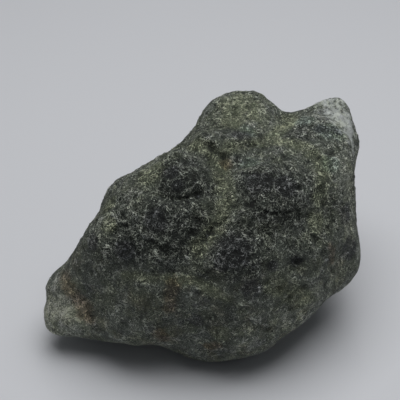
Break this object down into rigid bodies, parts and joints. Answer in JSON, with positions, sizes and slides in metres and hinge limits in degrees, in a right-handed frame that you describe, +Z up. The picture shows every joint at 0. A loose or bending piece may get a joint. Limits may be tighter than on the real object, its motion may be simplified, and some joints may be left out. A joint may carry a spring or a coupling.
{
  "type": "raw seraphinite",
  "caption": "Rough unpolished lump of green seraphinite with rounded nodules, a blunt toe and a small flat resting spot, for display or as a loose rock.",
  "frame": {"origin": "on the resting plane, under the middle of the stone's bounding box", "axes": "+Z up; +X along the stone's length, from the low toe towards the horned right end; +Y to the back, away from the knobbly face"},
  "size_m": [0.0834, 0.0656, 0.0526],
  "materials": {
    "seraphinite": "dull, rough weathered chlorite rock, mottled grey-green with dark nodules, olive seams and silvery flecks"
  },
  "bodies": {
    "root": {"stone": "seraphinite"}
  },
  "joints": []
}
